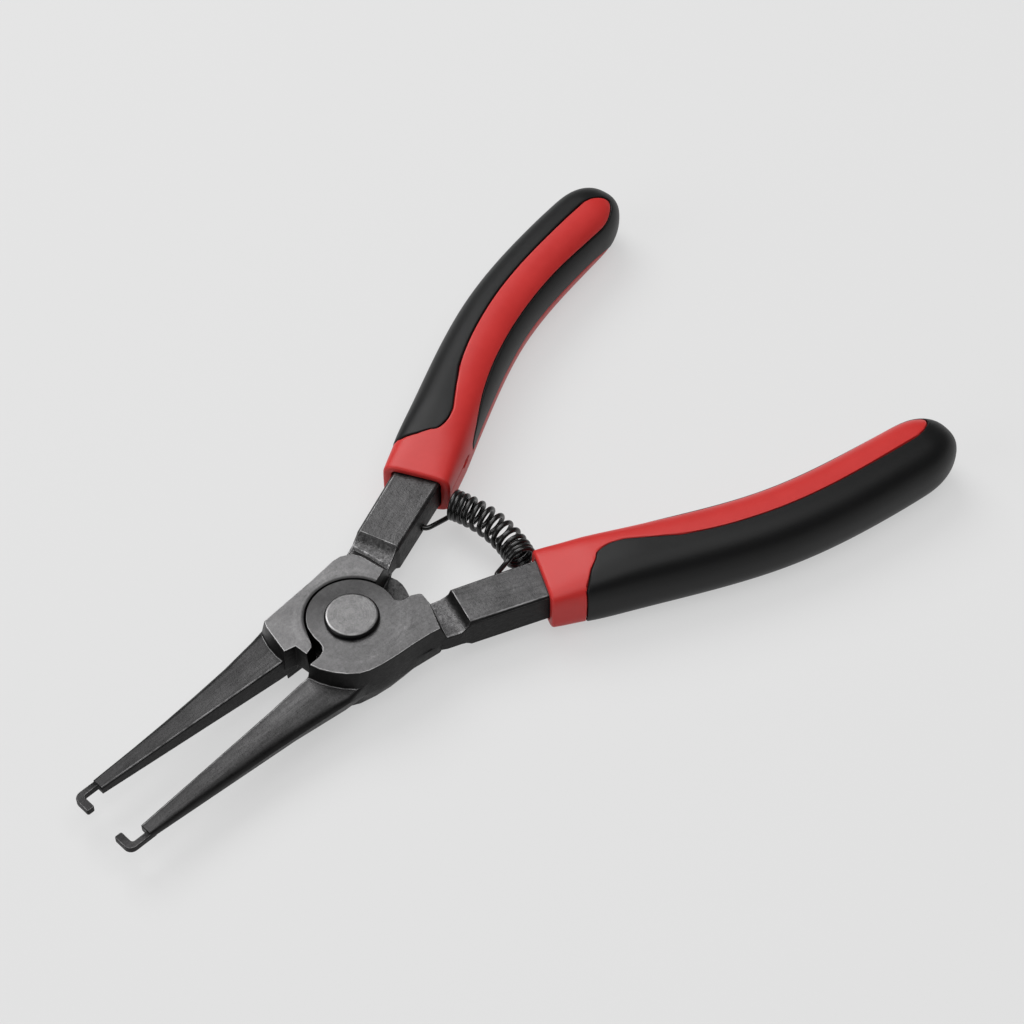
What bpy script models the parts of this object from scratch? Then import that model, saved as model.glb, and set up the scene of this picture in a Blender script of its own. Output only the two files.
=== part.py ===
"""Exhaust clamp pliers: two forged levers on a riveted lap joint, hooked tips,
a curved coil return spring between the tangs, and two-colour moulded grips.

Axes: X runs from the hooked tips towards the handles, +Y is the side of the
recessed lever, Z is up. The origin is the middle of the bounding box on the floor.
The outlines below are in millimetres and start from the pivot axis, with z counted
from the middle plane of the joint. Every object has its own origin on that axis.
"""
import math

import bmesh
import bpy
import numpy as np

MM = 0.001

# Place of the pivot in the part
PIVOT_X = -36.51
MID_Z = 9.447

# Heights, measured from the middle plane of the joint
JOINT_HALF = 7.0
TANG_HALF = 4.5
NECK_HALF = 2.4
LAYER_GAP = 0.3
LAYER_LAP = 0.6

# Pivot
DISC_R = 11.2
RECESS_GAP = 0.35
RECESS_R = DISC_R + RECESS_GAP
DRAWN_DISC_R = 11.2
SHANK_R = 4.0
RUNNING_GAP = 0.05
ARC_STEP = 6.0
HEAD_R = 6.75
HEAD_HEIGHT = 1.2
HEAD_ROUND = 0.85
SEAT_GAP = 0.3
STOP_REACH = 7.15
STOP_R = DISC_R + STOP_REACH
STOP_ANGLE = -46.0

# Jaws and hooks
JAW_END_X = -72.2
HOOK_OUTER_X = -78.5
HOOK_WIDTH = 2.1
SHANK_WIDTH = 1.6
HOOK_TIP_Y = 4.8
HOOK_THICK = 1.8

# Spring
SPRING_MID_X = 47.4
SPRING_ARC_R = 34.0
SPRING_HALF_ANGLE = 21.2
SPRING_COIL_R = 3.4
WIRE_R = 0.65
SPRING_TURNS = 12.5
SPRING_Z = 0.3
SPRING_SPREAD = 0.5
SPRING_HOLE_R = 0.95
SPRING_HOLE_Z = 1.9

# Grips
SLOT_S = 11.8
SLOT_Z = 1.0
SLOT_LENGTH = 4.6
SLOT_WIDTH = 1.1
SLOT_DEPTH = 1.2
COVER_T = 1.7
COVER_FRONT_T = 0.55
COVER_PROUD = 0.15
GRIP_GAP = 0.3


def clear_scene():
    for item in list(bpy.data.objects):
        bpy.data.objects.remove(item, do_unlink=True)


def material(name, colour, rough, metal):
    mat = bpy.data.materials.new(name)
    mat.use_nodes = True
    shader = mat.node_tree.nodes["Principled BSDF"]
    shader.inputs["Base Color"].default_value = (*colour, 1.0)
    shader.inputs["Roughness"].default_value = rough
    shader.inputs["Metallic"].default_value = metal
    mat.diffuse_color = (*colour, 1.0)
    return mat


def mesh_object(name, verts, faces):
    """Object on the pivot axis, from points in millimetres."""
    mesh = bpy.data.meshes.new(name)
    points = [(x * MM, y * MM, z * MM) for x, y, z in verts]
    mesh.from_pydata(points, [], faces)
    mesh.update()
    work = bmesh.new()
    work.from_mesh(mesh)
    bmesh.ops.recalc_face_normals(work, faces=work.faces)
    bmesh.ops.triangulate(work, faces=work.faces)
    work.to_mesh(mesh)
    work.free()
    obj = bpy.data.objects.new(name, mesh)
    obj.location = (PIVOT_X * MM, 0.0, MID_Z * MM)
    bpy.context.scene.collection.objects.link(obj)
    return obj


def prism(name, outline, z0, z1):
    """Straight prism over an outline."""
    count = len(outline)
    verts = [(x, y, z0) for x, y in outline] + [(x, y, z1) for x, y in outline]
    faces = [tuple(range(count))[::-1], tuple(range(count, 2 * count))]
    for i in range(count):
        j = (i + 1) % count
        faces.append((i, j, count + j, count + i))
    return mesh_object(name, verts, faces)


def loft(name, rings):
    """Closed body through rings of equal length, with flat ends."""
    count = len(rings[0])
    verts = [p for ring in rings for p in ring]
    faces = [tuple(range(count))[::-1]]
    for k in range(len(rings) - 1):
        a = k * count
        b = a + count
        for i in range(count):
            j = (i + 1) % count
            faces.append((a + i, a + j, b + j, b + i))
    last = (len(rings) - 1) * count
    faces.append(tuple(range(last, last + count)))
    return mesh_object(name, verts, faces)


def combine(target, other, operation):
    """Exact boolean of two bodies. The second one is used up."""
    mod = target.modifiers.new("combine", "BOOLEAN")
    mod.operation = operation
    mod.object = other
    mod.solver = "EXACT"
    bpy.context.view_layer.update()
    graph = bpy.context.evaluated_depsgraph_get()
    result = bpy.data.meshes.new_from_object(target.evaluated_get(graph))
    target.modifiers.clear()
    old = target.data
    target.data = result
    bpy.data.meshes.remove(old)
    bpy.data.objects.remove(other, do_unlink=True)
    work = bmesh.new()
    work.from_mesh(target.data)
    bmesh.ops.remove_doubles(work, verts=work.verts, dist=0.0000002)
    bmesh.ops.dissolve_degenerate(work, edges=work.edges, dist=0.0000002)
    work.to_mesh(target.data)
    work.free()
    return target


def finish(obj, mat, angle):
    """One material, and smooth shading below the given angle in degrees."""
    obj.data.materials.clear()
    obj.data.materials.append(mat)
    for face in obj.data.polygons:
        face.material_index = 0
        face.use_smooth = True
    work = bmesh.new()
    work.from_mesh(obj.data)
    limit = math.radians(angle)
    for edge in work.edges:
        sharp = len(edge.link_faces) != 2 or edge.calc_face_angle(0.0) > limit
        edge.smooth = not sharp
    work.to_mesh(obj.data)
    work.free()


def arc(radius, start, end, steps, centre=(0.0, 0.0)):
    """Points on a circle from start to end, in degrees."""
    points = []
    for i in range(steps + 1):
        t = math.radians(start + (end - start) * i / steps)
        points.append((centre[0] + radius * math.cos(t), centre[1] + radius * math.sin(t)))
    return points


def sized(outline):
    """The outline moved out from the pivot by what the disc is larger than it was drawn."""
    result = []
    for x, y in outline:
        r = math.hypot(x, y)
        k = (r + DISC_R - DRAWN_DISC_R) / r
        result.append((x * k, y * k))
    return result


def joint_arc(radius, start, end):
    """Points on a circle about the pivot every ARC_STEP degrees.

    All circles of the joint use the same steps, so walls that share a radius
    share their facets too.
    """
    return arc(radius, start, end, int(round(abs(end - start) / ARC_STEP)))


def mirrored(outline, side):
    """side 1 keeps the outline, side -1 mirrors it across the X axis."""
    if side > 0:
        return list(outline)
    return [(x, -y) for x, y in outline][::-1]


def cylinder(name, radius, z0, z1, centre=(0.0, 0.0), steps=48):
    ring = arc(radius, 0.0, 360.0 * (steps - 1) / steps, steps - 1, centre)
    return prism(name, ring, z0, z1)


# Splines used by the grips and the tangs inside them

def natural_spline(knots, values, at):
    """Natural cubic spline through the knots, by solving for second derivatives."""
    k = np.asarray(knots, float)
    v = np.asarray(values, float)
    n = len(k)
    h = np.diff(k)
    a = np.eye(n)
    r = np.zeros(n)
    for i in range(1, n - 1):
        a[i, i - 1:i + 2] = (h[i - 1], 2 * (h[i - 1] + h[i]), h[i])
        r[i] = 6 * ((v[i + 1] - v[i]) / h[i] - (v[i] - v[i - 1]) / h[i - 1])
    m = np.linalg.solve(a, r)
    t = np.atleast_1d(np.asarray(at, float))
    i = np.clip(np.searchsorted(k, t) - 1, 0, n - 2)
    d = k[i + 1] - k[i]
    p = (k[i + 1] - t) / d
    q = (t - k[i]) / d
    bend = ((p ** 3 - p) * m[i] + (q ** 3 - q) * m[i + 1]) * d * d / 6
    return p * v[i] + q * v[i + 1] + bend


PATH_X = (42.1, 54.0, 68.2, 96.2, 124.1, 151.5)
PATH_Y = (22.5, 28.8, 36.3, 49.5, 56.7, 61.0)


class Path:
    """Middle line of a grip in the middle plane, read by length along it."""

    def __init__(self):
        self.x = np.linspace(PATH_X[0], PATH_X[-1], 400)
        self.y = natural_spline(PATH_X, PATH_Y, self.x)
        steps = np.hypot(np.diff(self.x), np.diff(self.y))
        self.s = np.concatenate([[0.0], np.cumsum(steps)])
        self.length = float(self.s[-1])

    def at(self, s):
        """Point and unit tangent. Before the start the line runs on straight."""
        s = min(s, self.length)
        slope0 = (self.y[1] - self.y[0]) / (self.x[1] - self.x[0])
        if s < 0.0:
            run = math.hypot(1.0, slope0)
            tangent = (1.0 / run, slope0 / run)
            return (self.x[0] + s * tangent[0], self.y[0] + s * tangent[1]), tangent
        x = float(np.interp(s, self.s, self.x))
        y = float(np.interp(s, self.s, self.y))
        e = 0.4
        s0 = max(s - e, 0.0)
        s1 = min(s + e, self.length)
        dx = float(np.interp(s1, self.s, self.x) - np.interp(s0, self.s, self.x))
        dy = float(np.interp(s1, self.s, self.y) - np.interp(s0, self.s, self.y))
        run = math.hypot(dx, dy)
        return (x, y), (dx / run, dy / run)


PATH = Path()

# Section of the grip by length from the collar: half width, half height, squareness
GRIP_S = (0.0, 0.5, 2.0, 7.0, 14.0, 26.0, 60.0, 92.0, 122.0)
GRIP_W = (8.6, 9.0, 9.05, 9.25, 9.5, 9.4, 9.3, 9.2, 8.7)
GRIP_T = (6.1, 6.5, 6.7, 7.4, 8.4, 9.1, 9.3, 9.3, 8.9)
GRIP_N = (5.0, 5.0, 4.8, 3.9, 3.2, 2.7, 2.5, 2.5, 2.4)
END_W = 15.0
END_T = 12.0


def end_factor(remaining, span, power):
    if remaining >= span:
        return 1.0
    t = min(max((span - remaining) / span, 0.0), 1.0)
    return max(1.0 - t ** power, 0.0) ** (1.0 / power)


def grip_ring(s, inset, angles):
    """Points of the grip's section at length s, for a body inset by some depth.

    An angle of 0 is the outward side, 90 the top, 180 the side facing the
    other handle. The rounded end starts earlier on an inset body.
    """
    total = PATH.length - inset
    w = float(np.interp(s, GRIP_S, GRIP_W)) - inset
    t = float(np.interp(s, GRIP_S, GRIP_T)) - inset
    n = float(np.interp(s, GRIP_S, GRIP_N))
    w *= max(end_factor(total - s, END_W, 2.3), 0.02)
    t *= max(end_factor(total - s, END_T, 2.2), 0.02)
    (cx, cy), (tx, ty) = PATH.at(s)
    nx, ny = -ty, tx
    ring = []
    for angle in angles:
        c = math.cos(math.radians(angle))
        q = math.sin(math.radians(angle))
        a = math.copysign(abs(c) ** (2.0 / n), c) * w
        b = math.copysign(abs(q) ** (2.0 / n), q) * t
        ring.append((cx + nx * a, cy + ny * a, b))
    return ring


# Edges of the black cover by length from the collar, as section angles: the top edge
# of the outer lobe, and the top and bottom edges of the inner strip
LOBE_S = (9.0, 9.6, 10.4, 11.6, 13.6, 16.3, 19.0, 21.5, 25.0, 30.0, 38.0, 50.0, 92.0, 104.0,
          107.5, 109.5, 110.8, 111.6)
LOBE_A = (36.0, 50.0, 64.0, 79.0, 89.0, 95.0, 99.0, 100.0, 97.0, 92.5, 88.5, 86.5, 88.5, 89.0,
          91.0, 96.0, 103.0, 112.0)
STRIP_S = (17.6, 19.0, 22.0, 26.7, 31.4, 37.0, 43.0, 65.0, 80.0, 97.0, 103.0, 106.0, 109.0, 110.8, 111.6)
STRIP_TOP = (175.0, 169.0, 161.0, 150.0, 143.0, 139.0, 137.5, 140.5, 142.0, 148.0, 149.5, 147.0, 139.0,
             130.0, 122.0)
STRIP_LOW = (179.0, 179.0, 179.5, 180.0, 180.0, 180.0, 180.0, 178.0, 176.0, 173.0, 167.0, 159.0, 145.0,
             131.0, 122.0)
EDGE_SHIFT = 2.6
COLS_OUTER = 10
COLS_STRIPE = 5
COLS_INLAY = 5


def grip_angles(s, shift):
    """Section angles of the grid columns at length s.

    shift draws the edges of the red stripes in, which keeps them off the cover.
    """
    a = float(np.interp(s, LOBE_S, LOBE_A))
    b = float(np.interp(s, STRIP_S, STRIP_TOP))
    c = float(np.interp(s, STRIP_S, STRIP_LOW))
    a += shift
    b -= shift
    c -= shift
    outer = [(-a + 2 * a * i / COLS_OUTER) for i in range(COLS_OUTER)]
    stripe = [a + (b - a) * i / COLS_STRIPE for i in range(COLS_STRIPE)]
    inlay = [b + (360.0 - c - b) * i / COLS_INLAY for i in range(COLS_INLAY)]
    low = [360.0 - c + (c - a) * i / COLS_STRIPE for i in range(COLS_STRIPE)]
    return outer + stripe + inlay + low


# Lengths of the grid rows. The lobe starts at row 5, the inner strip at row 11, and the
# red stripes end at the last row.
GRIP_ROWS = (0.0, 0.5, 2.0, 4.5, 7.0, 9.0, 9.6, 10.4, 11.6, 13.6, 15.6, 17.6, 19.0, 21.5, 25.0, 30.0,
             37.0, 46.0, 56.0, 68.0, 80.0, 92.0, 100.0, 104.0, 107.5, 109.5, 110.8, 111.6)
LOBE_ROW = 5
INLAY_ROW = 11
STRIPE_ROW = len(GRIP_ROWS) - 1
END_STEPS = (0.4, 0.7, 0.9, 1.0)


def row_length(index, inset):
    """Length along the path of a grid row. The last rows close the rounded end."""
    if index < len(GRIP_ROWS):
        return GRIP_ROWS[index]
    last = GRIP_ROWS[-1]
    part = END_STEPS[index - len(GRIP_ROWS)]
    return last + (PATH.length - inset - last) * part


ROW_COUNT = len(GRIP_ROWS) + len(END_STEPS)
COL_COUNT = COLS_OUTER + 2 * COLS_STRIPE + COLS_INLAY


def is_covered(row, col):
    """True where the black cover lies over the cell between row and row + 1."""
    if row >= STRIPE_ROW:
        return True
    if col < COLS_OUTER:
        return row >= LOBE_ROW
    first = COLS_OUTER + COLS_STRIPE
    if first <= col < first + COLS_INLAY:
        return row >= INLAY_ROW
    return False


def cover_depth(s):
    """Thickness of the cover, which runs thin towards the collar."""
    return float(np.interp(s, (LOBE_S[0], STRIP_S[0]), (COVER_FRONT_T, COVER_T)))


def grip_grid(side, level, shift):
    """Grid of points on one level: "skin", "proud", "under" or "bed"."""
    grid = []
    end_inset = {"skin": 0.0, "proud": -COVER_PROUD, "under": COVER_T, "bed": COVER_T + GRIP_GAP}[level]
    for row in range(ROW_COUNT):
        s = row_length(row, end_inset)
        inset = end_inset
        if level in ("under", "bed"):
            inset += cover_depth(s) - COVER_T
        lengthwise = s
        if shift > 0.0 and row in (LOBE_ROW, INLAY_ROW, STRIPE_ROW):
            lengthwise = s - GRIP_GAP
        ring = grip_ring(lengthwise, inset, grip_angles(s, shift))
        grid.append([(x, side * y, z) for x, y, z in ring])
    return grid


def grip_body(name, side, red):
    """Red core or black cover, as one closed skin over the shared grid."""
    if red:
        high = grip_grid(side, "skin", EDGE_SHIFT)
        low = grip_grid(side, "bed", EDGE_SHIFT)
    else:
        high = grip_grid(side, "proud", 0.0)
        low = grip_grid(side, "under", 0.0)
    verts = [p for ring in high for p in ring] + [p for ring in low for p in ring]
    shift = ROW_COUNT * COL_COUNT
    faces = []

    def v(row, col, level):
        return row * COL_COUNT + col % COL_COUNT + (shift if level else 0)

    def quad(row, col, level):
        return (v(row, col, level), v(row, col + 1, level),
                v(row + 1, col + 1, level), v(row + 1, col, level))

    for row in range(ROW_COUNT - 1):
        for col in range(COL_COUNT):
            covered = is_covered(row, col)
            if red:
                faces.append(quad(row, col, covered))
            elif covered:
                faces.append(quad(row, col, False))
                faces.append(quad(row, col, True)[::-1])
            beside = is_covered(row, (col + 1) % COL_COUNT)
            if covered != beside:
                faces.append((v(row, col + 1, False), v(row + 1, col + 1, False),
                              v(row + 1, col + 1, True), v(row, col + 1, True)))
            if row > 0 and covered != is_covered(row - 1, col):
                faces.append((v(row, col, False), v(row, col + 1, False),
                              v(row, col + 1, True), v(row, col, True)))
    last = ROW_COUNT - 1
    if red:
        faces.append(tuple(v(last, c, True) for c in range(COL_COUNT)))
        faces.append(tuple(v(0, c, False) for c in range(COL_COUNT))[::-1])
    else:
        faces.append(tuple(v(last, c, False) for c in range(COL_COUNT)))
        faces.append(tuple(v(last, c, True) for c in range(COL_COUNT))[::-1])
    used = sorted({i for face in faces for i in face})
    index = {old: new for new, old in enumerate(used)}
    faces = [tuple(index[i] for i in face) for face in faces]
    return mesh_object(name, [verts[i] for i in used], faces)


# Tang of a lever, from the neck through the grip

TANG_OUTER = ((20.2, 20.4), (39.0, 28.6))
TANG_INNER = ((23.9, 9.1), (44.8, 16.9))
TANG_END_S = 88.0
TANG_CHAMFER = 0.7


def tang_section(centre, normal, half, height, chamfer):
    """Rectangle with cut corners across the tang."""
    a = half - chamfer
    b = height - chamfer
    corners = ((a, -height), (half, -b), (half, b), (a, height),
               (-a, height), (-half, b), (-half, -b), (-a, -height))
    return [(centre[0] + normal[0] * p, centre[1] + normal[1] * p, q) for p, q in corners]


def edge_section(outer, inner, height, chamfer):
    cx = 0.5 * (outer[0] + inner[0])
    cy = 0.5 * (outer[1] + inner[1])
    dx = outer[0] - inner[0]
    dy = outer[1] - inner[1]
    half = 0.5 * math.hypot(dx, dy)
    return tang_section((cx, cy), (dx / (2 * half), dy / (2 * half)), half, height, chamfer)


def inner_tang_sections(extra):
    """Tang inside the grip. extra widens it for the pocket in the core."""
    rings = []
    for s, half, height in ((0.0, 6.25, TANG_HALF), (12.0, 6.1, TANG_HALF), (26.0, 5.7, TANG_HALF),
                            (44.0, 5.1, 4.0), (64.0, 4.5, 3.7), (TANG_END_S, 3.6, 3.2)):
        centre, tangent = PATH.at(s if s < TANG_END_S else s + extra)
        normal = (-tangent[1], tangent[0])
        rings.append(tang_section(centre, normal, half + extra, height + extra, TANG_CHAMFER))
    return rings


def handed(rings, side):
    return [[(x, side * y, z) for x, y, z in ring] for ring in rings]


def tang_body(name, side, neck):
    """Neck, concave ramp and tang of one lever. neck lists outer and inner points."""
    rings = []
    for outer, inner, height in neck:
        rings.append(edge_section(outer, inner, height, 0.3))
    rings.append(edge_section(TANG_OUTER[0], TANG_INNER[0], TANG_HALF, TANG_CHAMFER))
    rings += inner_tang_sections(0.0)
    return loft(name, handed(rings, side))


# Jaw: x, inner y, outer y, top z, thickness, shoulder radius, how far the foot of the
# outer wall lies further in, and how far the disc lever's jaw reaches further in
JAW = ((-72.2, 7.0, 10.45, 1.05, 2.6, 0.7, 0.0, 0.05),
       (-60.0, 6.4, 11.05, 1.35, 3.5, 1.3, 0.05, 0.2),
       (-50.0, 5.9, 11.7, 1.62, 4.4, 1.8, 0.35, 0.27),
       (-40.0, 5.35, 12.45, 1.88, 5.2, 2.1, 0.8, 0.33),
       (-30.0, 4.75, 13.3, 2.14, 5.9, 2.2, 1.15, 0.38),
       (-20.0, 4.1, 14.55, 2.4, 6.4, 1.9, 1.4, 0.6),
       (-15.0, 3.9, 15.4, 2.5, 6.6, 1.5, 1.7, 0.6))


def jaw_body(name, side, root):
    """Tapered jaw with a flat top, rounded outer shoulders and a drafted outer wall."""
    rings = []
    for x, inner, outer, top, thick, r, draft, reach in JAW + (root,):
        if side < 0:
            inner -= reach
        low = top - thick
        low_r = min(0.8, 0.3 * thick)
        foot = outer - draft
        ring = [(x, inner, low + 0.3), (x, inner, top - 0.3), (x, inner + 0.3, top)]
        ring += [(x, outer - r + r * math.sin(math.radians(t)), top - r + r * math.cos(math.radians(t)))
                 for t in (0, 30, 60, 90)]
        ring += [(x, foot, low + low_r), (x, foot - low_r * 0.3, low + low_r * 0.3),
                 (x, foot - low_r, low), (x, inner + 0.3, low)]
        rings.append(ring)
    return loft(name, handed(rings, side))


def hook_body(name, side):
    """Flat hook: a shank flush with the jaw's outer side and a square arm."""
    outer = JAW[0][2] - 0.05
    inner = outer - SHANK_WIDTH
    arm_x = HOOK_OUTER_X + HOOK_WIDTH
    bend = arc(2.0, 90.0, 180.0, 5, (HOOK_OUTER_X + 2.0, outer - 2.0))
    crotch = arc(0.7, 180.0, 90.0, 3, (arm_x + 0.7, inner - 0.7))
    outline = [(JAW_END_X + 1.5, outer)] + bend
    outline += [(HOOK_OUTER_X, HOOK_TIP_Y + 0.3), (HOOK_OUTER_X + 0.3, HOOK_TIP_Y),
                (arm_x - 0.3, HOOK_TIP_Y), (arm_x, HOOK_TIP_Y + 0.3)]
    outline += crotch + [(JAW_END_X + 1.5, inner)]
    low = JAW[0][3] - JAW[0][4] + 0.05
    return prism(name, mirrored(outline, side), low, low + HOOK_THICK)


def spring_hole(name, side):
    """Bore in the tang's inner side that takes one leg of the spring."""
    (ox, oy), (dx, dy) = leg_entry()
    level = -SPRING_HOLE_Z if side > 0 else 2 * SPRING_Z + SPRING_HOLE_Z
    rings = []
    for depth in (-2.5, 3.2):
        cx = ox + dx * depth
        cy = oy + dy * depth
        ring = []
        for i in range(16):
            t = 2 * math.pi * i / 16
            a = SPRING_HOLE_R * math.cos(t)
            b = SPRING_HOLE_R * math.sin(t)
            ring.append((cx - dy * a, side * (cy + dx * a), b + level))
        rings.append(ring)
    return loft(name, rings)


def leg_entry():
    """Point on the tang's inner edge and the direction into the steel."""
    (x0, y0), (x1, y1) = TANG_INNER
    t = 0.565
    run = math.hypot(x1 - x0, y1 - y0)
    ux = (x1 - x0) / run
    uy = (y1 - y0) / run
    return (x0 + (x1 - x0) * t, y0 + (y1 - y0) * t), (-uy, ux)


# Outlines of the joint layers, all written for the +Y side

def recessed_upper(lean, foot):
    """Horseshoe of the recessed lever round the other lever's disc.

    lean moves the outer edge out, for the foot of its leaning wall. foot gives the
    outline where the walls towards the jaw, the neck and the gap lean out.
    """
    if foot:
        shape = [(-16.9, 14.3), (-17.8, 12.2), (-18.6, 9.4), (-19.0, 6.3), (-18.9, 3.4), (-15.8, 2.7),
                 (-15.4, -1.4), (-12.3, -0.6), (-11.9, 0.5)]
    else:
        shape = [(-16.2, 13.6), (-17.0, 12.0), (-17.6, 9.1), (-18.2, 6.2), (-18.8, 3.4), (-15.8, 2.7),
                 (-15.5, -0.9), (-13.2, -0.2), (-12.6, 0.6)]
    shape += joint_arc(DRAWN_DISC_R + RECESS_GAP, 156.0, 18.0)
    if foot:
        shape += [(18.0, 6.7), (17.3, 12.6), (16.2, 17.4), (12.0, 16.4)]
    else:
        shape += [(15.2, 5.1), (14.0, 12.0), (12.8, 14.2), (10.2, 15.6)]
    shape += [(8.0, 15.8 + lean), (0.0, 14.9 + lean), (-13.0, 13.9 + 0.5 * lean)]
    return sized(shape[::-1])


def recessed_lower():
    """Disc of the recessed lever with the rounded stop lug and the outer flank."""
    shape = [(-17.4, 4.9), (-10.1, 4.9)]
    shape += joint_arc(DRAWN_DISC_R, 156.0, 336.0)
    shape += [(12.0, -4.6), (14.0, -4.5), (16.0, -3.3), (17.6, -1.1), (18.4, 0.9), (18.9, 2.8), (18.9, 4.6),
              (18.4, 6.4), (19.6, 8.0)]
    shape += [(14.5, 17.2), (11.5, 16.9), (5.0, 15.3), (-5.0, 14.6), (-9.0, 14.2), (-12.9, 12.3),
              (-15.2, 9.2), (-16.6, 6.5)]
    return sized(shape)


def disc_upper(foot):
    """Disc of the other lever with its shoulders, written for the -Y side.

    foot gives the outline where the walls towards the jaw and the neck lean out.
    """
    shape = [(-17.8, -3.5)] if foot else [(-17.0, -3.7)]
    shape += [(-13.8, -3.5), (-12.2, -2.9), (-11.3, -1.8), (-11.0, -0.4), (-10.9, 1.6)]
    shape += joint_arc(DRAWN_DISC_R, 156.0, -18.0)
    shape += [(11.1, -4.2), (11.7, -4.9), (12.6, -5.2), (14.3, -5.3), (16.1, -6.3), (16.6, -6.9)]
    shape += [(16.7, -10.6), (13.9, -18.2)] if foot else [(16.0, -10.3), (12.5, -17.7)]
    shape += [(10.0, -17.2), (5.0, -16.6), (0.0, -16.3), (-5.0, -15.7), (-8.0, -15.0)]
    if foot:
        shape += [(-12.0, -14.2), (-14.0, -12.0), (-15.7, -9.3), (-17.0, -6.4)]
    else:
        shape += [(-10.2, -14.0), (-12.6, -11.9), (-14.7, -9.2), (-16.2, -6.4)]
    return sized(shape[::-1])


def disc_lower(bottom):
    """Horseshoe of the disc lever round the other lever's disc.

    The wall stands straight down to the neck's underside and leans inwards
    below it. bottom gives the outline of the lowest edge.
    """
    shape = joint_arc(DRAWN_DISC_R + RECESS_GAP, -48.0, -162.0)
    if bottom:
        shape[0] = (7.4, -8.9)
        shape += [(-15.6, -4.4), (-15.2, -6.4), (-14.2, -9.0), (-12.2, -11.6), (-9.8, -12.8), (-5.8, -13.7)]
        shape += [(-1.3, -14.2), (3.0, -14.2), (6.4, -14.1), (7.1, -12.0)]
    else:
        shape += [(-16.9, -3.8), (-16.2, -6.4), (-14.7, -9.2), (-12.6, -11.9), (-9.6, -14.2), (-5.0, -15.7)]
        shape += [(0.0, -16.3), (5.0, -16.6), (12.5, -17.7), (12.9, -13.4)]
    return sized(shape[::-1])


def layer(name, levels):
    """Body of one joint layer, from pairs of a height and an outline."""
    return loft(name, [[(x, y, z) for x, y in outline] for z, outline in levels])


def build_levers(steel):
    half_gap = 0.5 * LAYER_GAP
    recessed = layer("recessed_lever", ((-LAYER_LAP, recessed_upper(1.1, True)),
                                        (NECK_HALF, recessed_upper(0.65, True)),
                                        (JOINT_HALF, recessed_upper(0.0, False))))
    under = layer("under", ((-JOINT_HALF, recessed_lower()), (-half_gap, recessed_lower())))
    combine(recessed, under, "UNION")
    neck_a = (((8.6, 14.3), (13.2, 6.2), NECK_HALF), ((14.3, 17.9), (18.3, 7.0), NECK_HALF),
              ((17.3, 19.2), (20.4, 8.2), NECK_HALF), ((18.6, 19.8), (21.9, 8.8), 2.9),
              ((19.5, 20.1), (22.9, 9.2), 3.5))
    combine(recessed, tang_body("tang", 1, neck_a), "UNION")
    combine(recessed, jaw_body("jaw", 1, (-11.0, 6.4, 14.4, 2.5, 6.6, 0.8, 0.9, 0.0)), "UNION")
    combine(recessed, hook_body("hook", 1), "UNION")
    combine(recessed, cylinder("bore", SHANK_R + RUNNING_GAP, -9.0, 9.0), "DIFFERENCE")
    combine(recessed, spring_hole("hole", 1), "DIFFERENCE")
    sweep = arc(STOP_R, -60.0, -6.0, 12)
    disc = layer("disc_lever", ((half_gap, disc_upper(True)), (NECK_HALF, disc_upper(True)),
                                (JOINT_HALF, disc_upper(False))))
    under = layer("under", ((-JOINT_HALF, disc_lower(True)), (-NECK_HALF, disc_lower(False)),
                            (LAYER_LAP, disc_lower(False))))
    combine(disc, under, "UNION")
    neck_b = (((8.6, 15.2), (12.0, 8.6), NECK_HALF), ((14.3, 18.5), (18.1, 7.7), NECK_HALF),
              ((17.6, 19.8), (20.7, 8.5), NECK_HALF), ((18.8, 20.0), (22.1, 9.0), 2.9),
              ((19.6, 20.2), (23.0, 9.3), 3.5))
    combine(disc, tang_body("tang", -1, neck_b), "UNION")
    combine(disc, jaw_body("jaw", -1, (-8.0, 9.2, 14.6, 2.5, 6.4, 0.6, 0.6, 0.0)), "UNION")
    combine(disc, hook_body("hook", -1), "UNION")
    wedge = [(9.0, -1.0)] + [p for p in sweep if math.degrees(math.atan2(p[1], p[0])) >= STOP_ANGLE]
    start = math.radians(STOP_ANGLE)
    wedge.insert(1, (STOP_R * math.cos(start), STOP_R * math.sin(start)))
    wedge.insert(1, (10.0 * math.cos(start), 10.0 * math.sin(start)))
    combine(disc, prism("sweep", wedge, -8.0, 0.5 * LAYER_GAP), "DIFFERENCE")
    combine(disc, cylinder("bore", SHANK_R + RUNNING_GAP, -9.0, 9.0), "DIFFERENCE")
    combine(disc, spring_hole("hole", -1), "DIFFERENCE")
    for lever in (recessed, disc):
        finish(lever, steel, 25.0)
    return recessed, disc


def build_rivet(steel):
    """Shank with a rounded flat head at each end, turned about the pivot axis."""
    top = JOINT_HALF + SEAT_GAP
    profile = [(SHANK_R, -top), (HEAD_R, -top), (HEAD_R, -top - HEAD_HEIGHT + HEAD_ROUND)]
    profile += [(HEAD_R - HEAD_ROUND * 0.3, -top - HEAD_HEIGHT + HEAD_ROUND * 0.3),
                (HEAD_R - HEAD_ROUND, -top - HEAD_HEIGHT)]
    mirror = [(r, -z) for r, z in profile][::-1]
    profile = profile[::-1] + mirror[::-1]
    rings = []
    for r, z in profile:
        rings.append([(x, y, z) for x, y in arc(r, 0.0, 352.5, 47)])
    rivet = loft("pivot_rivet", rings)
    finish(rivet, steel, 40.0)
    return rivet


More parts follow.
